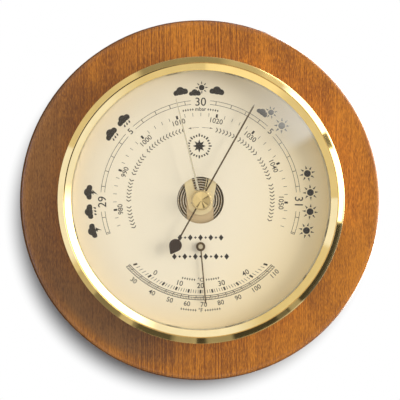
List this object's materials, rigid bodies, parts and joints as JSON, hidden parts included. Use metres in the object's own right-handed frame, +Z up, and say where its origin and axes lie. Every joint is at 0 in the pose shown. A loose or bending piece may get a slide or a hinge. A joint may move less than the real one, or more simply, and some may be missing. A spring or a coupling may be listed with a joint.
{
  "type": "wall barometer",
  "caption": "Round aneroid wall barometer with a bimetal thermometer on one cream dial, brass bezel and set knob, on a round wooden base.",
  "frame": {"origin": "centre of the wooden base's flat back, on the dial's axis", "axes": "-Y is the front, where the dial faces; +Z is up; +Y is the wall's side"},
  "size_m": [0.2032, 0.0396, 0.2032],
  "materials": {
    "wood": "satin lacquered",
    "polished_brass": "polished and lacquered",
    "glass": "clear",
    "dial_cream": "satin enamel",
    "case_sheet": "pressed, brass plated",
    "satin_brass": "satin",
    "bronze": "satin phosphor bronze",
    "nickel_silver": "satin",
    "steel": "bright",
    "black_enamel": "satin black",
    "pale_brass": "bright, thin lacquer",
    "white_plastic": "matt",
    "bimetal": "rolled strip"
  },
  "bodies": {
    "case": {"wood_base": "wood", "case_pan": "case_sheet", "case_screws": "steel", "bezel": "polished_brass", "glass": "glass", "spacer_ring": "satin_brass", "dial_plate": "dial_cream", "movement_base": "satin_brass", "base_spacers": "satin_brass", "base_screws": "steel", "capsule": "nickel_silver", "capsule_nut": "satin_brass", "adjust_bush": "satin_brass", "spring_screws": "steel", "rocker_bracket": "satin_brass", "bridge_pillars": "satin_brass", "bridge_fork": "satin_brass", "bridge_screws": "steel", "lower_cock": "satin_brass", "cock_posts": "steel", "hairspring": "steel", "hairspring_stud": "satin_brass", "thermo_bracket": "satin_brass", "thermo_rivets": "steel", "bimetal_coil": "bimetal", "bimetal_stud": "steel"},
    "spring_arm": {"main_spring": "bronze", "spring_lever": "nickel_silver", "lever_link": "nickel_silver", "capsule_post": "satin_brass"},
    "rocker": {"rocker_shaft": "steel"},
    "chain": {"link_chain": "steel"},
    "pointer_works": {"arbor": "steel", "drum": "satin_brass", "hairspring_collet": "satin_brass", "pointer_hub": "black_enamel", "pressure_pointer": "black_enamel"},
    "set_hand_works": {"set_hand": "pale_brass", "set_pin": "satin_brass", "set_washers": "white_plastic", "set_knob": "polished_brass"},
    "thermo_works": {"thermo_arbor": "satin_brass", "thermo_hub": "black_enamel", "thermo_pointer": "black_enamel"},
    "adjuster": {"adjusting_screw": "satin_brass"}
  },
  "joints": [
    {"name": "pointer_turn", "type": "hinge", "parent": "case", "child": "pointer_works", "pos_m": [0, -0.0286, 0], "axis": [0, 1, 0], "range_deg": [-139, 81], "deforming": ["hairspring"]},
    {"name": "chain_slide", "type": "slide", "parent": "case", "child": "chain", "axis": [-0.187, 0, -0.9824], "range_m": [-0.003, 0.0018], "deforming": ["link_chain"]},
    {"name": "rocker_turn", "type": "hinge", "parent": "case", "child": "rocker", "pos_m": [0, -0.0104, 0.02], "axis": [1, 0, 0], "range_deg": [-24.5, 14.5]},
    {"name": "spring_flex", "type": "hinge", "parent": "case", "child": "spring_arm", "pos_m": [0, -0.01165, -0.027], "axis": [1, 0, 0], "range_deg": [-0.7, 1.15], "deforming": ["capsule", "main_spring"]},
    {"name": "set_hand_turn", "type": "hinge", "parent": "case", "child": "set_hand_works", "pos_m": [0, -0.0306, 0], "axis": [0, 1, 0], "continuous": true},
    {"name": "thermo_turn", "type": "hinge", "parent": "case", "child": "thermo_works", "pos_m": [0, -0.0252, -0.0262], "axis": [0, 1, 0], "range_deg": [-72, 82], "deforming": ["bimetal_coil"]},
    {"name": "adjust_screw_turn", "type": "hinge", "parent": "case", "child": "adjuster", "pos_m": [0, -0.006, -0.027], "axis": [0, 1, 0], "range_deg": [-360, 360]}
  ],
  "couplings": [
    {"joint": "chain_slide", "follows": "pointer_turn", "m_per_rad": 0.0012},
    {"joint": "rocker_turn", "follows": "pointer_turn", "ratio": 0.1714},
    {"joint": "spring_flex", "follows": "pointer_turn", "ratio": -0.00762}
  ]
}
